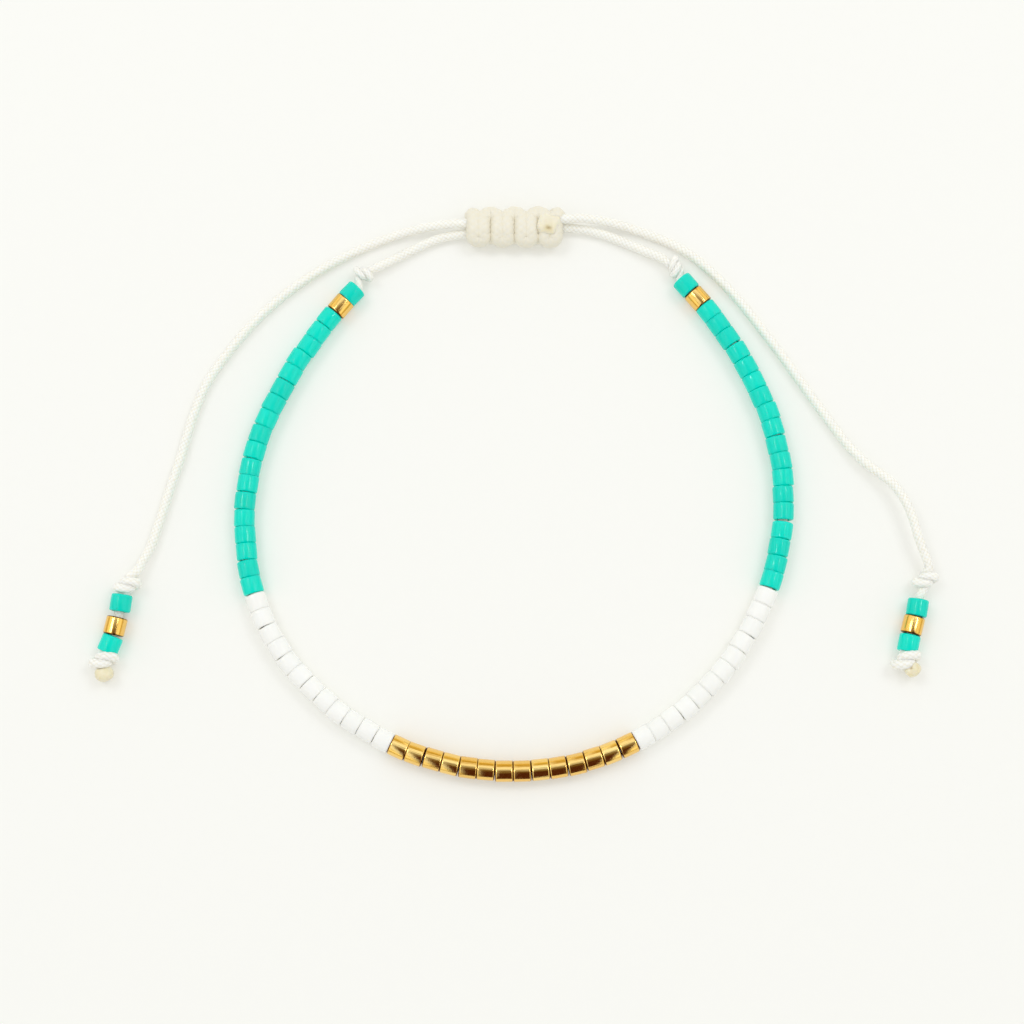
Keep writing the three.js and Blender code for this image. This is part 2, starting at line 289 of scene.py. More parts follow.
def vector(tree, operation, *values):
    sockets = dict(enumerate(values))
    return add_node(tree, "ShaderNodeVectorMath", sockets, operation=operation).outputs[0]


def scaled(tree, value, factor):
    sockets = {"Vector": value, "Scale": factor}
    return add_node(tree, "ShaderNodeVectorMath", sockets, operation="SCALE").outputs[0]


def ramp(tree, value, *stops):
    """A colour ramp with a stop for each pair of place and colour."""
    node = add_node(tree, "ShaderNodeValToRGB", {0: value})
    stop = node.color_ramp.elements
    while len(stop) < len(stops):
        stop.new(0.5)
    for element, (place, colour) in zip(stop, stops):
        element.position = place
        element.color = (*colour, 1)
    return node.outputs["Color"]


def mixed(tree, factor, a, b):
    """A blend from colour a to colour b."""
    a, b = (c if isinstance(c, bpy.types.NodeSocket) else (*c, 1) for c in (a, b))
    return add_node(tree, "ShaderNodeMix", {0: factor, 6: a, 7: b}, data_type="RGBA").outputs[2]


def xyz(tree, *values):
    return add_node(tree, "ShaderNodeCombineXYZ", dict(enumerate(values))).outputs[0]


def position(tree):
    return add_node(tree, "GeometryNodeInputPosition").outputs[0]


def stored(tree, geometry, name, value, domain="POINT"):
    """Keeps a number on each point, or instance, of a geometry under a name."""
    sockets = {"Geometry": geometry, "Name": name, "Value": value}
    kind = {"data_type": "FLOAT", "domain": domain}
    return add_node(tree, "GeometryNodeStoreNamedAttribute", sockets, **kind)


def carried(tree, name):
    """The number kept under a name."""
    node = add_node(tree, "GeometryNodeInputNamedAttribute", {"Name": name}, data_type="FLOAT")
    return node.outputs[0]


def captured(tree, geometry, items):
    """Keeps values from this place in the tree for later. items: name, kind and value."""
    node = add_node(tree, "GeometryNodeCaptureAttribute", {"Geometry": geometry})
    for name, kind, value in items:
        node.capture_items.new(kind, name)
        tree.links.new(value, node.inputs[name])
    return node.outputs


def random_between(tree, low, high, seed):
    sockets = {"Min": low, "Max": high, "Seed": seed}
    node = add_node(tree, "FunctionNodeRandomValue", sockets, data_type="FLOAT_VECTOR")
    return node.outputs["Value"]


def new_tree(name, floats, ints):
    """A Geometry Nodes group: geometry in and out, the named inputs and a material."""
    tree = bpy.data.node_groups.new(name, "GeometryNodeTree")
    inputs = {"Geometry": ["Geometry"], "Float": floats, "Int": ints, "Material": ["Material"]}
    for kind, titles in inputs.items():
        for title in titles:
            tree.interface.new_socket(name=title, in_out="INPUT", socket_type=f"NodeSocket{kind}")
    tree.interface.new_socket(name="Geometry", in_out="OUTPUT", socket_type="NodeSocketGeometry")
    return tree, tree.nodes.new("NodeGroupInput").outputs


def close_tree(tree, geometry, material):
    """Ends a tree with real, smooth geometry in one material."""
    real = add_node(tree, "GeometryNodeRealizeInstances", {"Geometry": geometry})
    smooth_faces = add_node(tree, "GeometryNodeSetShadeSmooth", {"Geometry": real})
    sockets = {"Geometry": smooth_faces, "Material": material}
    painted = add_node(tree, "GeometryNodeSetMaterial", sockets)
    tree.links.new(painted.outputs[0], tree.nodes.new("NodeGroupOutput").inputs[0])
    return tree


# Steps round a bead's softened edge, and its smallest and largest scale: across, across, along
EDGE_STEPS = 4
BEAD_SCALES = (0.985, 0.985, 0.992), (1.01, 1.01, 1.004)


def bead_tree(name):
    """A round bead with softened edges on every point, its hole along the point's heading."""
    lengths = ("Diameter", "Hole", "Length", "Edge", "Tilt", "Wander")
    tree, given = new_tree(name, lengths, ("Sides", "Seed"))
    outer, inner, half = (calc(tree, "MULTIPLY", given[title], 0.5) for title in lengths[:3])
    middle = calc(tree, "MULTIPLY", calc(tree, "ADD", outer, inner), 0.5)
    wall = calc(tree, "SUBTRACT", outer, inner)
    round_it = {"Resolution": given["Sides"], "Radius": middle}
    ring = add_node(tree, "GeometryNodeCurvePrimitiveCircle", round_it)
    size = {"Width": wall, "Height": given["Length"]}
    section = add_node(tree, "GeometryNodeCurvePrimitiveQuadrilateral", size)
    sockets = {"Curve": section, "Radius": given["Edge"]}
    fillet = add_node(tree, "GeometryNodeFilletCurve", sockets, mode="POLY")
    fillet.inputs["Count"].default_value = EDGE_STEPS
    factor = tree.nodes.new("GeometryNodeSplineParameter").outputs["Factor"]
    marked = stored(tree, ring, "around", factor)
    tube = add_node(tree, "GeometryNodeCurveToMesh", {"Curve": marked, "Profile Curve": fillet})
    height = add_node(tree, "ShaderNodeSeparateXYZ", {"Vector": position(tree)}).outputs["Z"]
    # How near each point lies to the bead's ends; the gold uses it for painted shade at its ends.
    bead = stored(tree, tube, "end", calc(tree, "DIVIDE", calc(tree, "ABSOLUTE", height), half))

    def seed(step):
        return calc(tree, "ADD", given["Seed"], step)

    def spread(limit, seed_step):
        low = calc(tree, "MULTIPLY", limit, -1.0)
        return random_between(tree, *(xyz(tree, v, v, v) for v in (low, limit)), seed(seed_step))

    wander = {"Geometry": given["Geometry"], "Offset": spread(given["Wander"], 0)}
    moved = add_node(tree, "GeometryNodeSetPosition", wander)
    along = xyz(tree, 0.0, math.pi / 2, carried(tree, "heading"))
    tilted = vector(tree, "ADD", along, spread(given["Tilt"], 1))
    rotation = add_node(tree, "FunctionNodeEulerToRotation", {"Euler": tilted})
    scale = random_between(tree, *BEAD_SCALES, seed(2))
    sockets = {"Points": moved, "Instance": bead, "Rotation": rotation, "Scale": scale}
    string = add_node(tree, "GeometryNodeInstanceOnPoints", sockets)
    tone = add_node(tree, "FunctionNodeRandomValue", {"Seed": seed(3)}).outputs[1]
    return close_tree(tree, stored(tree, string, "bead_tone", tone, "INSTANCE"), given["Material"])


def braid_tree(name):
    """A round braid of strands that pass over and under each other, along an edge path."""
    tree, given = new_tree(name, ("Relief", "Lay", "Step"), ("Strands", "Sides"))
    line = add_node(tree, "GeometryNodeMeshToCurve", {"Mesh": given["Geometry"]})
    fine = add_node(tree, "GeometryNodeResampleCurve", {"Curve": line}, mode="LENGTH")
    tree.links.new(given["Step"], fine.inputs["Length"])

    spline = tree.nodes.new("GeometryNodeSplineParameter").outputs
    items = (
        ("Along", "FLOAT", spline["Length"]),
        ("Thick", "FLOAT", carried(tree, "thickness")),
        ("Middle", "VECTOR", position(tree)),
    )
    run = captured(tree, fine, items)
    # Any radius does here, as the cord's thickness places each point below.
    round_it = {"Resolution": given["Sides"], "Radius": 0.0003}
    ring = add_node(tree, "GeometryNodeCurvePrimitiveCircle", round_it)
    turn = captured(tree, ring, [("Round", "FLOAT", spline["Factor"])])
    sockets = {"Curve": run["Geometry"], "Profile Curve": turn["Geometry"], "Fill Caps": True}
    tube = add_node(tree, "GeometryNodeCurveToMesh", sockets)
    about = calc(tree, "MULTIPLY", turn["Round"], given["Strands"])
    rate = calc(tree, "DIVIDE", given["Strands"], given["Lay"])
    climb = calc(tree, "MULTIPLY", run["Along"], rate)
    one_way = calc(tree, "ADD", about, climb)
    other_way = calc(tree, "SUBTRACT", about, climb)
    cell = calc(tree, "ADD", calc(tree, "FLOOR", one_way), calc(tree, "FLOOR", other_way))
    odd = calc(tree, "PINGPONG", cell, 1.0)
    even = calc(tree, "SUBTRACT", 1.0, odd)
    arches = [
        calc(tree, "SINE", calc(tree, "MULTIPLY", calc(tree, "FRACT", way), math.pi))
        for way in (one_way, other_way)
    ]
    across, along = (
        calc(tree, "ADD", calc(tree, "MULTIPLY", a, even), calc(tree, "MULTIPLY", b, odd))
        for a, b in (arches, arches[::-1])
    )
    crown = calc(tree, "MULTIPLY_ADD", along, 0.6, 0.4)
    height = calc(tree, "MULTIPLY", calc(tree, "POWER", across, 0.6), crown)

    off_line = vector(tree, "NORMALIZE", vector(tree, "SUBTRACT", position(tree), run["Middle"]))
    hollow = calc(tree, "MULTIPLY", given["Relief"], calc(tree, "SUBTRACT", height, 1.0))
    reach = scaled(tree, off_line, calc(tree, "ADD", run["Thick"], hollow))
    place = vector(tree, "ADD", run["Middle"], reach)
    shaped = add_node(tree, "GeometryNodeSetPosition", {"Geometry": tube, "Position": place})
    return close_tree(tree, stored(tree, shaped, "braid", height), given["Material"])


TREES = {"Beads on a thread": bead_tree, "Braided cord": braid_tree}


def add_object(name, data):
    """A new object in the scene."""
    thing = bpy.data.objects.new(name, data)
    bpy.context.scene.collection.objects.link(thing)
    return thing


def mark(mesh, name, numbers):
    """Keeps a number for each of a mesh's points under a name."""
    mesh.attributes.new(name, "FLOAT", "POINT").data.foreach_set("value", numbers)


def grow(name, vertices, edges, attributes, tree, values):
    """Runs the tree of this name on points or edges and returns the plain mesh made, as a piece."""
    mesh = bpy.data.meshes.new(name)
    mesh.from_pydata([tuple(v) for v in vertices], edges, [])
    for title, numbers in attributes.items():
        mark(mesh, title, [float(n) for n in numbers])
    piece = add_object(name, mesh)
    nodes = piece.modifiers.new("Nodes", "NODES")
    nodes.node_group = bpy.data.node_groups.get(tree) or TREES[tree](tree)
    items = nodes.node_group.interface.items_tree
    sockets = {s.name: s.identifier for s in items if s.in_out == "INPUT"}
    for title, value in values.items():
        nodes[sockets[title]] = value
    graph = bpy.context.evaluated_depsgraph_get()
    grown = bpy.data.meshes.new_from_object(piece.evaluated_get(graph), depsgraph=graph)
    piece.modifiers.remove(nodes)
    piece.data = grown
    grown.name = name
    bpy.data.meshes.remove(mesh)
    outwards(grown)
    if not len(grown.polygons):
        raise RuntimeError(f"{name} came out empty")
    return piece


def outwards(mesh):
    """Turns all faces outwards."""
    work = bmesh.new()
    work.from_mesh(mesh)
    bmesh.ops.recalc_face_normals(work, faces=work.faces)
    work.to_mesh(mesh)
    work.free()


def belongs(piece, slot, *nodes):
    """Puts a finished piece on the bracelet's body, in the place of the plain solids named."""
    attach(piece, BODY)
    if nodes:
        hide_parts(*nodes)
    return piece


# Materials


def new_material(name):
    material = bpy.data.materials.new(name)
    material.use_nodes = True
    tree = material.node_tree
    shader = next(n for n in tree.nodes if n.type == "BSDF_PRINCIPLED")
    where = add_node(tree, "ShaderNodeTexCoord").outputs["Object"]
    return material, tree, shader, where


def soften(weight, scatter, depth):
    """Sockets that let light in to a depth in metres, with a scatter for each colour."""
    return {"Subsurface Weight": weight, "Subsurface Radius": scatter, "Subsurface Scale": depth}


def speckle(tree, where, scale, detail=3.0, roughness=0.6):
    sockets = {"Vector": where, "Scale": scale, "Detail": detail, "Roughness": roughness}
    return add_node(tree, "ShaderNodeTexNoise", sockets).outputs["Fac"]


def attribute(tree, name):
    return add_node(tree, "ShaderNodeAttribute", attribute_name=name).outputs["Fac"]


def bump(tree, shader, height, strength, distance):
    sockets = {"Height": height, "Strength": strength, "Distance": distance}
    node = add_node(tree, "ShaderNodeBump", sockets)
    tree.links.new(node.outputs[0], shader.inputs["Normal"])


def glass_material(name, colour, spread, roughness, scatter, shine, soft):
    """Opaque glass, glossy, with a slightly different tone on each bead and faint cloudiness."""
    material, tree, shader, where = new_material(name)
    deep = [c * (1 - spread) for c in colour]
    light = [min(1.0, c * (1 + spread)) for c in colour]
    by_bead = mixed(tree, attribute(tree, "bead_tone"), deep, light)
    cloud = speckle(tree, where, 1500.0)
    clouded = mixed(tree, calc(tree, "MULTIPLY", cloud, 0.35), by_bead, light)
    rough = calc(tree, "MULTIPLY_ADD", speckle(tree, where, 6000.0), 0.05, roughness)
    fill(tree, shader, {"Base Color": clouded, "Roughness": rough, "IOR": 1.52})
    fill(tree, shader, {"Specular IOR Level": shine, **soften(soft, scatter, 0.0004)})
    bump(tree, shader, speckle(tree, where, 2200.0), 0.05, 0.00002)
    return material


def gold_material(name, colour):
    """Thin gold plate: warm, finely pitted, paler in spots of wear, painted shade at bead ends."""
    material, tree, shader, where = new_material(name)
    pale = [min(1.0, c * 1.08 + 0.05) for c in colour]
    amber = [colour[0] * 0.93, colour[1] * 0.86, colour[2] * 0.75]
    by_bead = mixed(tree, attribute(tree, "bead_tone"), amber, pale)
    wear = speckle(tree, where, 1800.0, 4.0)
    plated = mixed(tree, calc(tree, "MULTIPLY", wear, 0.5), by_bead, pale)
    # Painted shade: each bead darkens to deep brown towards its ends, where it meets the next.
    seam_shade = [c * f for c, f in zip(colour, (0.22, 0.11, 0.05))]
    in_seam_shade = ramp(tree, attribute(tree, "end"), (0.87, (0, 0, 0)), (0.91, (1, 1, 1)))
    seam_shaded = mixed(tree, in_seam_shade, plated, seam_shade)
    rough = calc(tree, "MULTIPLY_ADD", speckle(tree, where, 5200.0), 0.1, 0.05)
    fill(tree, shader, {"Base Color": seam_shaded, "Metallic": 1.0, "Roughness": rough})
    pits = speckle(tree, where, 5200.0, 5.0, 0.7)
    crinkle = speckle(tree, where, 900.0, 2.0)
    around = calc(tree, "MULTIPLY_ADD", attribute(tree, "around"), 44.0, crinkle)
    by_tone = calc(tree, "MULTIPLY", attribute(tree, "bead_tone"), 60.0)
    streaks = speckle(tree, xyz(tree, around, by_tone), 1.0, 2.0)
    bump(tree, shader, calc(tree, "MULTIPLY_ADD", streaks, 2.4, pits), 0.3, 0.00002)
    return material


def nylon_material(name, colour, crevice_shade, roughness, soft):
    """Braided nylon: pale strands, creamier painted shade between them, and a soft sheen."""
    material, tree, shader, where = new_material(name)
    # Painted shade: the low places of the braid, between its strands, take the darker, creamier
    # colour.
    braid_shade = ramp(tree, attribute(tree, "braid"), (0.15, crevice_shade), (0.7, colour))
    fibres = speckle(tree, where, 9000.0, 4.0, 0.7)
    dulled = mixed(tree, calc(tree, "MULTIPLY", fibres, 0.12), braid_shade, crevice_shade)
    fill(tree, shader, {"Base Color": dulled, "Roughness": roughness})
    fill(tree, shader, {"Sheen Weight": 0.15, "Sheen Roughness": 0.4})
    fill(tree, shader, soften(soft, (1.0, 0.95, 0.85), 0.0003))
    bump(tree, shader, fibres, 0.3, 0.00003)
    return material


def melted_material(name, colour, shaded_unmelted, charred):
    """Nylon that was melted and set: smooth, yellowish, slightly cloudy, and charred in its pit."""
    material, tree, shader, where = new_material(name)
    brown = [c * f for c, f in zip(colour, (0.93, 0.9, 0.8))]
    cloud = ramp(tree, speckle(tree, where, 1600.0, 4.0), (0.35, brown), (0.6, colour))
    # Where cool is set, the colour fades to the slider's cord colour, which is painted shade
    cooler = mixed(tree, attribute(tree, "cool"), cloud, shaded_unmelted)
    pitted = mixed(tree, attribute(tree, "pit"), cooler, charred)
    fill(tree, shader, {"Base Color": pitted, "Roughness": 0.32})
    fill(tree, shader, soften(0.5, (1.0, 0.9, 0.6), 0.0003))
    bump(tree, shader, speckle(tree, where, 2500.0), 0.3, 0.00006)
    return material


def table_material(name, colour, glow):
    """A plain pale table, faintly lit from below, with a barely visible tooth."""
    material, tree, shader, where = new_material(name)
    tooth = speckle(tree, where, 900.0, 4.0)
    uneven = mixed(tree, tooth, colour, [c * 0.985 for c in colour])
    fill(tree, shader, {"Base Color": uneven, "Roughness": 0.6, "Specular IOR Level": 0.1})
    fill(tree, shader, {"Emission Color": (*glow, 1), "Emission Strength": 1.0})
    bump(tree, shader, tooth, 0.05, 0.00005)
    return material


# Sizes and colours that a user would change


def distance(name, description, default, **more):
    more.update(unit="LENGTH", subtype="DISTANCE", precision=5)
    return FloatProperty(name=name, description=description, default=default, **more)


def colour(name, default):
    kind = {"size": 3, "min": 0, "max": 1, "subtype": "COLOR"}
    description = f"Colour of the {name.lower()}"
    return FloatVectorProperty(name=name, description=description, default=default, **kind)


class BraceletBeads(bpy.types.PropertyGroup):
    """Sizes of the beads and how unevenly they sit."""

    diameter: distance("Diameter", "Width of a bead across its hole", 0.0016, min=0.0002)
    hole: distance("Hole", "Width of the hole through a bead", 0.00092, min=0.0001)
    edge: distance("Edge", "Radius of the softened edge at a bead's ends", 0.00015, min=0)
    glass_pitch: distance("Glass pitch", "From one glass bead to the next", 0.001318, min=0.0002)
    gold_pitch: distance("Gold pitch", "From one gold bead to the next", 0.001365, min=0.0002)
    gap: distance("Gap", "Gap between beads, below zero where they press together", -0.000012)
    gold_gap: distance("Gold gap", "The same gap between gold beads", -0.000015)
    gold_edge: distance("Gold edge", "The same radius on a gold bead", 0.00014, min=0)
    sides: IntProperty(name="Sides", description="Faces around a bead", default=40, min=8)
    tilt: FloatProperty(
        name="Tilt",
        description="How far a bead may turn out of line",
        default=math.radians(1.2),
        subtype="ANGLE",
    )
    wander: distance("Wander", "How far a bead may sit off the line", 0.00004, min=0)
    seed: IntProperty(name="Seed", description="Which random unevenness is used", default=3)


class BraceletCord(bpy.types.PropertyGroup):
    """Sizes of the braided cord."""

    diameter: distance("Diameter", "Width of the cord", 0.00075, min=0.0001)
    in_knots: distance("In knots", "Width of the cord inside a knot", 0.00072, min=0.0001)
    in_slider: distance("In slider", "Width of the slider's own cord", 0.0013, min=0.0001)
    relief: distance("Relief", "Height of the braid's strands", 0.00005, min=0)
    lay: distance("Lay", "Length over which a strand goes round the cord once", 0.0022, min=0.0002)
    strands: IntProperty(name="Strands", description="Strands each way round", default=6, min=2)


class BraceletFinish(bpy.types.PropertyGroup):
    """Colours of the bracelet and its table."""

    turquoise: colour("Turquoise glass", (0.0, 0.72, 0.572))
    white: colour("White glass", (0.955, 0.952, 0.9))
    gold: colour("Gold plate", (0.93, 0.6, 0.17))
    nylon: colour("Braided cord", (0.955, 0.95, 0.9))
    # Painted shade: the slider's cord is the same nylon, coloured darker and creamier
    worn: colour("Slider's cord", (0.855, 0.805, 0.66))
    # Painted shade in the gaps between a cord's strands
    crevice_shade: colour("Gaps between strands", (0.84, 0.81, 0.71))
    melted: colour("Melted cord ends", (0.86, 0.8, 0.6))
    charred: colour("Pits in melted ends", (0.5, 0.38, 0.18))
    table: colour("Table", (0.7, 0.7, 0.68))
    glow: colour("Light through the table", (0.243, 0.24, 0.219))


def settings():
    scene = bpy.context.scene
    return scene.bracelet_beads, scene.bracelet_cord, scene.bracelet_finish


def finish_material(name):
    """The material of this name, made when it is first asked for."""
    if name in bpy.data.materials:
        return bpy.data.materials[name]
    finish = settings()[2]
    teal = {"spread": 0.06, "roughness": 0.04, "shine": 0.25, "soft": 0.45}
    teal["scatter"] = (0.4, 1.0, 0.9)
    milky = {"spread": 0.02, "roughness": 0.18, "shine": 0.15, "soft": 0.3}
    milky["scatter"] = (1.0, 0.95, 0.85)
    # The slider's nylon takes a darker, creamier colour than the rest, which is painted shade
    new, worn = {"roughness": 0.5, "soft": 0.5}, {"roughness": 0.42, "soft": 0.0}
    make, *colours, looks = {
        "turquoise_glass_beads": (glass_material, finish.turquoise, teal),
        "white_glass_beads": (glass_material, finish.white, milky),
        "gold_plated_beads": (gold_material, finish.gold, {}),
        "braided_nylon": (nylon_material, finish.nylon, finish.crevice_shade, new),
        "worn_nylon": (nylon_material, finish.worn, finish.crevice_shade, worn),
        "melted_nylon": (melted_material, finish.melted, finish.worn, finish.charred, {}),
        "pale_table": (table_material, finish.table, finish.glow, {}),
    }[name]
    return make(name, *colours, **looks)


BEAD_FINISHES = {
    "turquoise": ("turquoise_glass_beads", "turquoise_glass"),
    "white": ("white_glass_beads", "white_glass"),
    "gold": ("gold_plated_beads", "gold_plate"),
}


def string_beads(name, node, finish, places, pitch, seed):
    """Beads at places given as x, y and z in mm and heading in radians, as one piece."""
    beads = settings()[0]
    material, slot = BEAD_FINISHES[finish]
    same_size = ("Diameter", "Hole", "Sides", "Tilt", "Wander")
    piece = grow(
        name,
        metres([place[:3] for place in places]),
        [],
        {"heading": [place[3] for place in places]},
        "Beads on a thread",
        {
            **{size: getattr(beads, size.lower()) for size in same_size},
            "Length": pitch - (beads.gold_gap if finish == "gold" else beads.gap),
            "Edge": beads.gold_edge if finish == "gold" else beads.edge,
            "Seed": beads.seed + seed,
            "Material": finish_material(material),
        },
    )
    return belongs(piece, slot, node)


def braid(name, nodes, line, thickness=None, finish="braided_nylon", step=0.055, sides=40):
    """A braided cord along a line in mm. thickness is a radius in mm for each of its points."""
    cord = settings()[1]
    if thickness is None:
        thickness = [cord.diameter / 2 / MM] * len(line)
    piece = grow(
        name,
        metres(line),
        [(i, i + 1) for i in range(len(line) - 1)],
        {"thickness": np.array(thickness) * MM},
        "Braided cord",
        {
            "Relief": cord.relief,
            "Strands": cord.strands,
            "Lay": cord.lay,
            "Step": step * MM,
            "Sides": sides,
            "Material": finish_material(finish),
        },
    )
    return belongs(piece, "white_nylon", *nodes)


def knotted(name, nodes, points, knot):
    """A piece of cord through points in mm, thinner inside the knot that squeezes it."""
    cord = settings()[1]
    line = smooth(points, SPACING["knot"])
    away = np.linalg.norm(line - np.array(knot["at"]), axis=1) / knot["size"]
    inside = np.clip((SQUEEZE_REACH - away) / SQUEEZE_FADE, 0, 1)
    thin, full = cord.in_knots / 2 / MM * knot["size"], cord.diameter / 2 / MM
    return braid(name, nodes, line, full + (thin - full) * inside, **KNOTTED)


def melted_end(name, nodes, tip, seed):
    """A blunt, rounded end of melted cord, uneven as it set, with a small pit."""
    work = bmesh.new()
    bmesh.ops.create_icosphere(work, subdivisions=4, radius=1)
    drift = Vector((seed * 7.1, seed * 3.3, seed * 5.7))
    pit_at = Vector(tip["pit"]).normalized()
    pits, cools = [], []
    for vertex in work.verts:
        v = vertex.co
        off_pit = Vector((*turned(v.x, v.y, tip["heading"]), v.z)).angle(pit_at)
        pits.append(math.exp(-((off_pit / MELT["pit_width"]) ** 2)))
        fade = (off_pit - MELT["cool_from"]) / MELT["cool_over"]
        cools.append(tip.get("cool", 0.0) * min(1.0, max(0.0, fade)))
        blunt = [math.copysign(abs(n) ** MELT["blunt"], n) for n in v]
        lumps = 1 + MELT["lumps"] * noise.noise(v * 1.3 + drift)
        lumps += MELT["ripples"] * noise.noise(v * 4 + drift)
        lumps -= MELT["pit"] * pits[-1]
        x = blunt[0] * tip.get("length", MELT["length"]) * lumps
        y, z = (n * tip["radius"] * lumps for n in blunt[1:])
        z *= tip.get("flat", 1.0)
        vertex.co = Vector((*turned(x, y, tip["heading"]), z)) + Vector(tip["at"])
        vertex.co *= MM
    bmesh.ops.recalc_face_normals(work, faces=work.faces)
    mesh = bpy.data.meshes.new(name)
    work.to_mesh(mesh)
    work.free()
    mark(mesh, "pit", pits)
    mark(mesh, "cool", cools)
    mesh.shade_smooth()
    mesh.materials.append(finish_material("melted_nylon"))
    return belongs(add_object(name, mesh), "white_nylon", *nodes)


def end_of(place, length, sign):
    """The middle of one end of a bead at x, y, z and heading."""
    x, y, z, heading = place
    reach = sign * length / 2
    return np.array([x + math.cos(heading) * reach, y + math.sin(heading) * reach, z])


# Height of the beads' thread line
BEAD_MIDDLE = 0.82


def string_place(s):
    x, y, heading = on_string(s)
    return x, y, BEAD_MIDDLE, heading


def pitches():
    """The pitch of glass beads and of gold ones, in mm."""
    beads = settings()[0]
    return beads.glass_pitch / MM, beads.gold_pitch / MM


def runs():
    """Every run and single bead of the string: name, node, finish, places, pitch."""
    glass, gold = pitches()
    middle = GOLD_BEADS * gold / 2
    places = [string_place((i + 0.5) * gold - middle) for i in range(GOLD_BEADS)]
    yield "gold_beads_middle", "gold_run", "gold", places, gold
    for side, sign in SIDES.items():
        start = middle
        gap_on_side = PARTED_BY if side == "right" else 0
        for name, node, finish, count, pitch, parted in (
            ("white_beads", "white_run", "white", WHITE_BEADS, glass, 0),
            ("turquoise_beads", "turquoise_run", "turquoise", TURQUOISE_BEADS, glass, gap_on_side),
            ("gold_bead", "spacer_bead", "gold", 1, gold, 0),
            ("last_bead", "end_bead", "turquoise", 1, glass, 0),
        ):
            close = pitch - parted / count
            parts = [parted if i >= PARTED_AFTER else 0 for i in range(count)]
            far = [start + (i + 0.5) * close + part for i, part in enumerate(parts)]
            places = [string_place(sign * s) for s in far]
            yield f"{name}_{side}", f"{node}_{side}", finish, places, close
            start += count * pitch


def string_length():
    """From the string's middle to its end, in mm."""
    glass, gold = pitches()
    return GOLD_BEADS * gold / 2 + (WHITE_BEADS + TURQUOISE_BEADS + 1) * glass + gold


def tail_bead_places(side):
    beads = TAIL_ENDS[side]["beads"]
    return [(x, y, BEAD_MIDDLE, math.radians(heading)) for x, y, heading in beads]


def tail_line(side):
    """A tail's centre line, up to the place where its knot takes it in."""
    return smooth([*TAILS[side], *overhand(TAIL_ENDS[side]["upper"])[:2]], SPACING["tail"])


# Operators


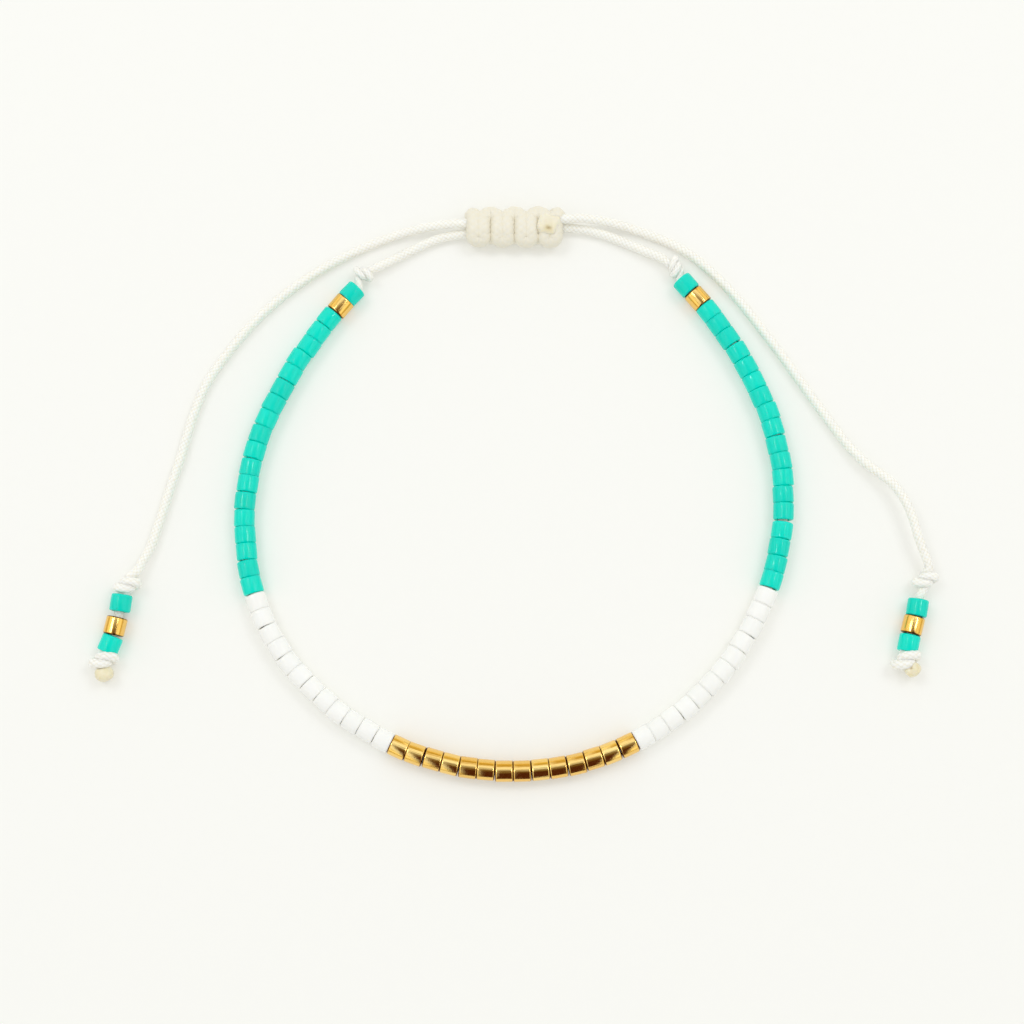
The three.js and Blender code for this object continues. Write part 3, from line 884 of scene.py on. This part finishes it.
class BRACELET_OT_stage(bpy.types.Operator):
    """Adds the camera, the pale table and the soft light"""

    bl_idname = "bracelet.stage"
    bl_label = "Camera, table and light"

    # The camera, in mm and degrees
    DISTANCE = 160.0
    ELEVATION = 82.0
    VIEW = 27.66
    TARGET = (-0.17, -1.59, 0.0)
    # Half the table's width, the places of the soft round lights, and their width, in metres
    TABLE_HALF = 0.6
    LIGHTS = ((-0.24, 0.2, 0.44), (0.24, 0.2, 0.44))
    LIGHT = {"width": 0.22, "power": 0.38, "colour": (0.98, 1.0, 1.02)}
    # Two narrow curved lights, the sides of a ring round where a flat bead mirrors the camera.
    # The ring's radius and half its width are in degrees, and low and high bound the parts kept.
    STRIPS = {
        "steps": 96,
        "away": 1.2,
        "ring": 28.0,
        "half_width": 1.9,
        "low": -0.1,
        "high": 0.36,
        "glow": 14.0,
    }

    def execute(self, context):
        scene = context.scene
        scene.view_settings.view_transform = "Standard"
        scene.view_settings.look = "None"
        self.camera(scene)
        self.table()
        self.lights()
        self.strip_lights()
        self.surroundings(scene)
        return {"FINISHED"}

    def camera(self, scene):
        camera = add_object("camera", bpy.data.cameras.new("camera"))
        up = math.radians(self.ELEVATION)
        target = Vector(self.TARGET) * MM
        camera.location = target + Vector((0, -math.cos(up), math.sin(up))) * self.DISTANCE * MM
        camera.rotation_euler = (math.pi / 2 - up, 0, 0)
        camera.data.sensor_fit = "HORIZONTAL"
        camera.data.angle = math.radians(self.VIEW)
        camera.data.clip_start = 0.005
        camera.data.clip_end = 10
        scene.camera = camera

    def table(self):
        half = self.TABLE_HALF
        corners = [(-half, -half, 0), (half, -half, 0), (half, half, 0), (-half, half, 0)]
        mesh = bpy.data.meshes.new("table")
        mesh.from_pydata(corners, [], [(0, 1, 2, 3)])
        mesh.materials.append(finish_material("pale_table"))
        add_object("table", mesh)

    def lights(self):
        for number, place in enumerate(self.LIGHTS):
            data = bpy.data.lights.new(f"soft_light_{number}", "AREA")
            data.shape, data.size, data.energy = "DISK", self.LIGHT["width"], self.LIGHT["power"]
            data.color = self.LIGHT["colour"]
            light = add_object(data.name, data)
            light.location = place
            light.rotation_euler = (-Vector(place)).to_track_quat("-Z", "Y").to_euler()
            light.visible_glossy = False

    def strip_lights(self):
        """The lights that draw two thin lines along each glossy bead. Only glossy rays see them."""
        strips, up = self.STRIPS, math.radians(self.ELEVATION)
        across, along = Vector((1, 0, 0)), Vector((0, -math.sin(up), math.cos(up)))
        middle = Vector((0, math.cos(up), math.sin(up)))
        vertices, faces = [], []
        for k in range(strips["steps"] + 1):
            a = 2 * math.pi * k / strips["steps"]
            spoke = across * math.cos(a) + along * math.sin(a)
            for side in (-1, 1):
                out = math.tan(math.radians(strips["ring"] + side * strips["half_width"]))
                vertices.append((middle + spoke * out) * strips["away"])
            if k and all(strips["low"] < v.normalized().y < strips["high"] for v in vertices[-4:]):
                n = len(vertices)
                faces.append((n - 4, n - 3, n - 1, n - 2))
        mesh = bpy.data.meshes.new("strip_lights")
        mesh.from_pydata(vertices, [], faces)
        glow = bpy.data.materials.new("strip_glow")
        glow.use_nodes = True
        glow.node_tree.nodes.clear()
        shine = add_node(glow.node_tree, "ShaderNodeEmission", {"Strength": strips["glow"]})
        add_node(glow.node_tree, "ShaderNodeOutputMaterial", {"Surface": shine})
        mesh.materials.append(glow)
        strip = add_object("strip_lights", mesh)
        strip.visible_camera = strip.visible_diffuse = strip.visible_shadow = False

    def surroundings(self, scene):
        """A studio seen in the beads: bright behind, dark in front, and stripes at the sides."""
        world = bpy.data.worlds.new("studio")
        world.use_nodes = True
        scene.world = world
        tree = world.node_tree
        tree.nodes.clear()
        ray = add_node(tree, "ShaderNodeTexCoord").outputs["Generated"]
        split = add_node(tree, "ShaderNodeSeparateXYZ", {"Vector": ray})
        lean = calc(tree, "ARCTAN2", split.outputs["Y"], split.outputs["Z"])
        place = calc(tree, "MULTIPLY_ADD", lean, 1 / math.pi, 0.5)

        def at(degrees):
            return 0.5 + degrees / 180

        dark, olive, amber = (0.04, 0.011, 0.003), (0.1, 0.07, 0.02), (0.32, 0.24, 0.055)
        dim, bright, low = (0.3, 0.32, 0.36), (0.57, 0.62, 0.72), (0.5, 0.44, 0.28)
        front = ((-88, dark), (-26, dark), (-7, olive), (12, dim), (21, bright), (37, bright))
        front += ((52, amber), (66, amber), (86, low))
        gold_front = ramp(tree, place, *((at(angle), tone) for angle, tone in front))
        across = calc(tree, "ARCTAN2", split.outputs["X"], split.outputs["Z"])
        half, pale = (0.34, 0.28, 0.1), (0.6, 0.6, 0.5)
        stripes = ((4, half), (12, bright), (30, bright), (37, half))
        stripes += ((44, pale), (62, pale), (76, half))
        gold_sides = ramp(
            tree,
            calc(tree, "MULTIPLY_ADD", across, 1 / math.pi, 0.5),
            *((at(-angle), tone) for angle, tone in reversed(stripes)),
            *((at(angle), tone) for angle, tone in stripes),
        )
        off_middle = calc(tree, "MULTIPLY_ADD", split.outputs["X"], 0.5, 0.5)
        none, full = (0, 0, 0), (1, 1, 1)
        middle = ramp(tree, off_middle, (0.32, none), (0.42, full), (0.68, full), (0.73, none))
        mirrored = scaled(tree, mixed(tree, middle, gold_sides, gold_front), 2.0)
        room, backdrop = (0.83, 0.83, 0.82), (0.93, 0.94, 0.92)
        path = tree.nodes.new("ShaderNodeLightPath")
        soft = mixed(tree, path.outputs["Is Glossy Ray"], room, mirrored)
        seen = mixed(tree, path.outputs["Is Camera Ray"], soft, backdrop)
        background = add_node(tree, "ShaderNodeBackground", {"Color": seen, "Strength": 1.0})
        add_node(tree, "ShaderNodeOutputWorld", {"Surface": background})


class BRACELET_OT_tail_cords(bpy.types.Operator):
    """Lays the two loose tail cords on the table"""

    bl_idname = "bracelet.tail_cords"
    bl_label = "Tail cords"

    def execute(self, context):
        for side in TAILS:
            braid(f"tail_{side}", [f"tail_cord_{side}"], tail_line(side))
        return {"FINISHED"}


class BRACELET_OT_closing_cords(bpy.types.Operator):
    """Makes the cord inside the beads, its two stop knots and the stretches up to the slider"""

    bl_idname = "bracelet.closing_cords"
    bl_label = "Closing cords and stop knots"

    def execute(self, context):
        reach = string_length()
        end = reach - IN_BEADS_END
        inner = [string_place(s)[:3] for s in np.linspace(-end, end, IN_BEADS_POINTS)]
        braid("cord_in_beads", [], inner, **IN_BEADS)
        for side, sign in SIDES.items():
            knot = STOP_KNOTS[side]
            inside = [string_place(sign * (reach - back))[:3] for back in INSIDE]
            points = [*inside, *overhand(knot), *CLOSURES[side]]
            knotted(f"closing_cord_{side}", [f"closure_cord_{side}"], points, knot)
        return {"FINISHED"}


class BRACELET_OT_slider(bpy.types.Operator):
    """Winds the slider's two strands over and under the closing cords and melts its end"""

    bl_idname = "bracelet.slider"
    bl_label = "Slider"

    def execute(self, context):
        pitch = (SLIDER["right"] - SLIDER["left"]) / SLIDER["half_knots"]
        front, back = [], []
        for k in range(SLIDER["half_knots"]):
            middle = SLIDER["left"] + (k + 0.5) * pitch
            way = -1 if k % 2 == 0 else 1
            way *= 1 + SLIDER["widening"] * middle / SLIDER["right"]
            nearer = math.copysign(1, -way)
            for strand, rows, turn in ((front, FRONT_STRAND, way), (back, BACK_STRAND, -way)):
                strand += [(middle + x + shift * nearer, turn * y, z) for x, shift, y, z in rows]
        first, last = SLIDER["left"] + pitch / 2, SLIDER["right"] - pitch / 2
        start = [(first, *row) for row in FRONT_END]
        end = [(last, *row) for row in reversed(FRONT_END)]
        radius = settings()[1].in_slider / 2 / MM
        for name, strand in (("front", [*start, *front[2:], *end]), ("back", back[2:])):
            line = smooth(self.placed(strand), SPACING["slider"])
            name = f"slider_{name}_strand"
            # The slider's strands take the darker, creamier nylon, which is painted shade
            braid(name, ["sliding_knot"], line, [radius] * len(line), "worn_nylon", **KNOTTED)
        for side, offset, ends in (
            ("left", CORE_SPACING, (CLOSURES["left"][-1], TAILS["right"][0])),
            ("right", -CORE_SPACING, (TAILS["left"][0], CLOSURES["right"][-1])),
        ):
            points = [ends[0], *self.placed([(0.0, offset, 0.0)]), ends[1]]
            line = smooth(points, SPACING["in_slider"])
            braid(f"cord_in_slider_{side}", [], line, **IN_SLIDER)
        melted_end("slider_melted_end", [], SLIDER_TIP, 1)
        return {"FINISHED"}

    def placed(self, points):
        return [(x, SLIDER["y"] + y, SLIDER["z"] + z) for x, y, z in points]


class BRACELET_OT_tail_ends(bpy.types.Operator):
    """Ties the knots above and below the tail beads and melts the cord's tips"""

    bl_idname = "bracelet.tail_ends"
    bl_label = "Tail knots and tips"

    def execute(self, context):
        length = pitches()[0]
        for seed, (side, ends) in enumerate(TAIL_ENDS.items(), 2):
            first, *others = tail_bead_places(side)
            through = [end_of(first, length, sign) for sign in (-1, 1)]
            upper, lower = ends["upper"], ends["lower"]
            points = [*overhand(upper), *through]
            knotted(f"tail_{side}_upper_knot", [f"tail_knot_{side}"], points, upper)
            further = [end_of(place, length, sign) for place in others for sign in (-1, 1)]
            points = [through[1], *further, *overhand(lower)]
            knotted(f"tail_{side}_lower_knot", [f"tail_end_{side}"], points, lower)
            melted_end(f"tail_{side}_tip", [f"tail_end_{side}"], ends["tip"], seed)
        return {"FINISHED"}


class BRACELET_OT_string_beads(bpy.types.Operator):
    """Strings the gold, white and turquoise beads of the bracelet"""

    bl_idname = "bracelet.string_beads"
    bl_label = "Beads of the string"

    def execute(self, context):
        for seed, (name, node, finish, places, pitch) in enumerate(runs()):
            string_beads(name, node, finish, places, pitch * MM, 10 * seed)
        return {"FINISHED"}


class BRACELET_OT_tail_beads(bpy.types.Operator):
    bl_idname = "bracelet.tail_beads"
    bl_label = "Beads of the tails"

    def execute(self, context):
        beads, cord, _ = settings()
        for side in TAILS:
            threaded = []
            beads_here = zip(tail_bead_places(side), TAIL_FINISHES)
            for number, (place, finish) in enumerate(beads_here, 1):
                pitch = beads.gold_pitch if finish == "gold" else beads.glass_pitch
                threaded.append(f"tail_{side}_bead_{number}")
                node, seed = f"tail_bead_{side}_{number}", 200 + 10 * number
                string_beads(threaded[-1], node, finish, [place], pitch, seed)
            threaded += [f"tail_{side}_{end}" for end in ("upper_knot", "lower_knot", "tip")]
            line = metres(tail_line(side))
        return {"FINISHED"}


OPERATORS = (
    BRACELET_OT_stage,
    BRACELET_OT_tail_cords,
    BRACELET_OT_closing_cords,
    BRACELET_OT_slider,
    BRACELET_OT_tail_ends,
    BRACELET_OT_string_beads,
    BRACELET_OT_tail_beads,
)


class BRACELET_PT_panel(bpy.types.Panel):
    """Lists the sizes, the colours and the steps that build the bracelet"""

    bl_idname = "BRACELET_PT_panel"
    bl_label = "Seed bead bracelet"
    bl_space_type = "VIEW_3D"
    bl_region_type = "UI"
    bl_category = "Bracelet"

    def draw(self, context):
        for group in settings():
            box = self.layout.box()
            for name in group.bl_rna.properties.keys():
                if name not in ("rna_type", "name"):
                    box.prop(group, name)
        column = self.layout.column(align=True)
        for operator in OPERATORS:
            column.operator(operator.bl_idname)


GROUPS = {
    "bracelet_beads": BraceletBeads,
    "bracelet_cord": BraceletCord,
    "bracelet_finish": BraceletFinish,
}
CLASSES = (*GROUPS.values(), *OPERATORS, BRACELET_PT_panel)


def register():
    for kind in CLASSES:
        bpy.utils.register_class(kind)
    for name, group in GROUPS.items():
        setattr(bpy.types.Scene, name, PointerProperty(type=group))


def unregister():
    for name in GROUPS:
        delattr(bpy.types.Scene, name)
    for kind in reversed(CLASSES):
        bpy.utils.unregister_class(kind)


def main():
    register()
    for operator in OPERATORS:
        group, name = operator.bl_idname.split(".")
        getattr(getattr(bpy.ops, group), name)()


if __name__ == "__main__":
    main()
